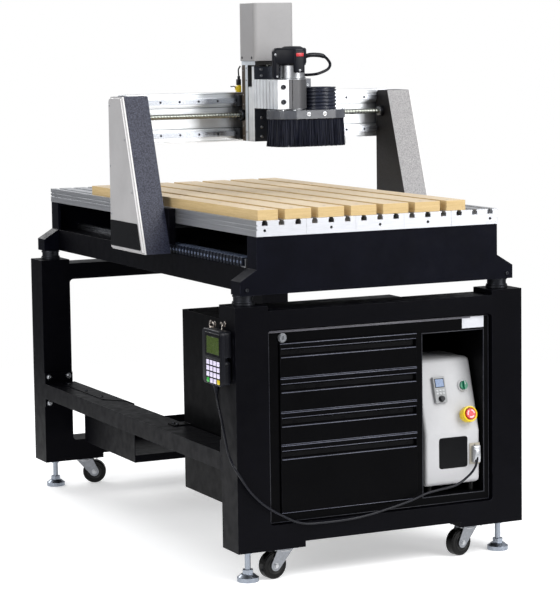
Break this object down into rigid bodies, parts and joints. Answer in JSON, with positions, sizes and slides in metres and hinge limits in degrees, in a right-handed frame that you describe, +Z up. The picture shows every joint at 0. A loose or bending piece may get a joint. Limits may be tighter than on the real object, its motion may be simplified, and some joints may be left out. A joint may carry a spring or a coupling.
{
  "type": "cnc router",
  "caption": "Gantry CNC router with a T-slot table and spoilboard slats on a tube stand with drawers, controller, hand pendant, casters and levelling feet.",
  "frame": {"origin": "on the floor, under the middle of the machine's footprint", "axes": "+X to the right of a person facing the drawers, +Y from the drawer end to the back, +Z up"},
  "size_m": [0.966, 1.6049, 1.572],
  "materials": {
    "hammered_dark": "hammered dark grey paint",
    "hammered_blue": "hammered blue-grey paint on castings",
    "black_satin": "satin black powder coat",
    "black_panel": "fine-textured black powder coat",
    "table_aluminium": "extruded, natural",
    "beam_aluminium": "milled and anodised, satin",
    "cast_aluminium": "machined, brushed",
    "mdf": "bare fibreboard",
    "rail_steel": "ground",
    "screw_steel": "ground and oiled",
    "zinc_steel": "zinc plated",
    "chrome": "polished",
    "motor_black": "satin black",
    "block_dark": "dark oxide",
    "cover_light": "light warm grey powder coat",
    "chain_plastic": "moulded nylon",
    "router_plastic": "moulded",
    "shoe_plastic": "smoked",
    "bristle": "fine bristles",
    "hose_rubber": "matte",
    "wheel_rubber": "matte",
    "controller_grey": "light grey powder coat",
    "knob_black": "fine grain",
    "switch_green": "moulded",
    "estop_red": "moulded",
    "pendant_plastic": "fine grain"
  },
  "bodies": {
    "machine": {"base_end_frames": "hammered_dark", "base_side_beams": "black_satin", "machine_feet": "block_dark", "t_slot_table": "table_aluminium", "spoilboard_slats": "mdf", "y_rails": "rail_steel", "y_motor": "motor_black", "y_cable_chain": "chain_plastic", "stand_end_frames": "black_satin", "stand_side_beams": "black_satin", "storage_tray": "black_satin", "levelling_feet": "chrome", "caster_plates": "zinc_steel", "toolbox_case": "black_panel", "controller_case": "controller_grey"},
    "gantry": {"gantry_legs": "hammered_blue", "gantry_side_covers": "cover_light", "gantry_lower_beam": "black_satin", "y_bearing_blocks": "block_dark", "gantry_beam": "beam_aluminium", "x_rails": "rail_steel", "x_screw_bearings": "block_dark", "x_motor": "motor_black"},
    "carriage": {"x_carriage_plate": "block_dark", "x_bearing_blocks": "block_dark", "x_ball_nut": "motor_black", "z_column": "cast_aluminium", "z_bearing_blocks": "block_dark", "z_motor": "motor_black", "z_motor_cover": "cover_light"},
    "head": {"z_slide_plate": "cast_aluminium", "z_rails": "rail_steel", "router_clamp": "cast_aluminium", "router_body": "router_plastic", "router_sleeve": "cast_aluminium", "dust_shoe": "shoe_plastic", "dust_brush": "bristle", "hose_port": "hose_rubber"},
    "y_screw": {"y_ballscrew": "screw_steel"},
    "x_screw": {"x_ballscrew": "screw_steel"},
    "z_screw": {"z_ballscrew": "screw_steel"},
    "spindle": {"router_collet": "screw_steel"},
    "speed_dial": {"router_speed_dial": "knob_black"},
    "drawer_1": {"drawer_1": "black_panel"},
    "drawer_2": {"drawer_2": "black_panel"},
    "drawer_3": {"drawer_3": "black_panel"},
    "drawer_4": {"drawer_4": "black_panel"},
    "lock": {"toolbox_lock": "chrome"},
    "knob": {"display_knob": "knob_black"},
    "main_switch": {"rotary_switch": "switch_green"},
    "estop": {"estop_button": "estop_red"},
    "hand_pendant": {"pendant": "pendant_plastic"},
    "fork_fl": {"caster_fork_fl": "zinc_steel"},
    "wheel_fl": {"caster_wheel_fl": "wheel_rubber"},
    "fork_fr": {"caster_fork_fr": "zinc_steel"},
    "wheel_fr": {"caster_wheel_fr": "wheel_rubber"},
    "fork_bl": {"caster_fork_bl": "zinc_steel"},
    "wheel_bl": {"caster_wheel_bl": "wheel_rubber"},
    "fork_br": {"caster_fork_br": "zinc_steel"},
    "wheel_br": {"caster_wheel_br": "wheel_rubber"}
  },
  "joints": [
    {"name": "gantry_travel", "type": "slide", "parent": "machine", "child": "gantry", "axis": [0, 1, 0], "range_m": [-0.5, 0.7]},
    {"name": "carriage_travel", "type": "slide", "parent": "gantry", "child": "carriage", "axis": [1, 0, 0], "range_m": [-0.3, 0.3]},
    {"name": "head_travel", "type": "slide", "parent": "carriage", "child": "head", "axis": [0, 0, 1], "range_m": [-0.13, 0]},
    {"name": "y_screw_turn", "type": "hinge", "parent": "machine", "child": "y_screw", "pos_m": [0, 0, 0.862], "axis": [0, 1, 0], "continuous": true},
    {"name": "x_screw_turn", "type": "hinge", "parent": "gantry", "child": "x_screw", "pos_m": [0, -0.074, 1.24], "axis": [1, 0, 0], "continuous": true},
    {"name": "z_screw_turn", "type": "hinge", "parent": "carriage", "child": "z_screw", "pos_m": [-0.014, -0.126, 1.3], "axis": [0, 0, 1], "continuous": true},
    {"name": "spindle_turn", "type": "hinge", "parent": "head", "child": "spindle", "pos_m": [0, -0.262, 1.26], "axis": [0, 0, 1], "continuous": true},
    {"name": "speed_dial_turn", "type": "hinge", "parent": "head", "child": "speed_dial", "pos_m": [0.045, -0.25, 1.396], "axis": [1, 0, 0], "range_deg": [0, 270]},
    {"name": "drawer_1_slide", "type": "slide", "parent": "machine", "child": "drawer_1", "axis": [0, -1, 0], "range_m": [0, 0.4]},
    {"name": "drawer_2_slide", "type": "slide", "parent": "machine", "child": "drawer_2", "axis": [0, -1, 0], "range_m": [0, 0.4]},
    {"name": "drawer_3_slide", "type": "slide", "parent": "machine", "child": "drawer_3", "axis": [0, -1, 0], "range_m": [0, 0.4]},
    {"name": "drawer_4_slide", "type": "slide", "parent": "machine", "child": "drawer_4", "axis": [0, -1, 0], "range_m": [0, 0.4]},
    {"name": "lock_turn", "type": "hinge", "parent": "machine", "child": "lock", "pos_m": [-0.302, -0.79, 0.665], "axis": [0, 1, 0], "range_deg": [0, 90]},
    {"name": "display_knob_turn", "type": "hinge", "parent": "machine", "child": "knob", "pos_m": [0.207, -0.75335, 0.45027], "axis": [0, -0.9615, 0.2747], "range_deg": [0, 300]},
    {"name": "main_switch_turn", "type": "hinge", "parent": "machine", "child": "main_switch", "pos_m": [0.286, -0.74429, 0.482], "axis": [0, -0.9615, 0.2747], "range_deg": [0, 90]},
    {"name": "estop_push", "type": "slide", "parent": "machine", "child": "estop", "axis": [0, -0.9615, 0.2747], "range_m": [-0.004, 0]},
    {"name": "pendant_lift", "type": "slide", "parent": "machine", "child": "hand_pendant", "axis": [0, 0, 1], "range_m": [0, 0.1]},
    {"name": "caster_fl_swivel", "type": "hinge", "parent": "machine", "child": "fork_fl", "pos_m": [-0.292, -0.751, 0.08], "axis": [0, 0, 1], "continuous": true},
    {"name": "caster_fl_roll", "type": "hinge", "parent": "fork_fl", "child": "wheel_fl", "pos_m": [-0.32369, -0.75545, 0.038], "axis": [-0.1392, 0.9903, 0], "continuous": true},
    {"name": "caster_fr_swivel", "type": "hinge", "parent": "machine", "child": "fork_fr", "pos_m": [0.292, -0.751, 0.08], "axis": [0, 0, 1], "continuous": true},
    {"name": "caster_fr_roll", "type": "hinge", "parent": "fork_fr", "child": "wheel_fr", "pos_m": [0.26095, -0.75874, 0.038], "axis": [-0.2419, 0.9703, 0], "continuous": true},
    {"name": "caster_bl_swivel", "type": "hinge", "parent": "machine", "child": "fork_bl", "pos_m": [-0.292, 0.751, 0.08], "axis": [0, 0, 1], "continuous": true},
    {"name": "caster_bl_roll", "type": "hinge", "parent": "fork_bl", "child": "wheel_bl", "pos_m": [-0.26277, 0.73798, 0.038], "axis": [-0.4067, -0.9135, 0], "continuous": true},
    {"name": "caster_br_swivel", "type": "hinge", "parent": "machine", "child": "fork_br", "pos_m": [0.292, 0.751, 0.08], "axis": [0, 0, 1], "continuous": true},
    {"name": "caster_br_roll", "type": "hinge", "parent": "fork_br", "child": "wheel_br", "pos_m": [0.26193, 0.74006, 0.038], "axis": [-0.342, 0.9397, 0], "continuous": true}
  ],
  "couplings": [
    {"joint": "y_screw_turn", "follows": "gantry_travel", "rad_per_m": -628.32},
    {"joint": "x_screw_turn", "follows": "carriage_travel", "rad_per_m": -628.32},
    {"joint": "z_screw_turn", "follows": "head_travel", "rad_per_m": -628.32}
  ]
}
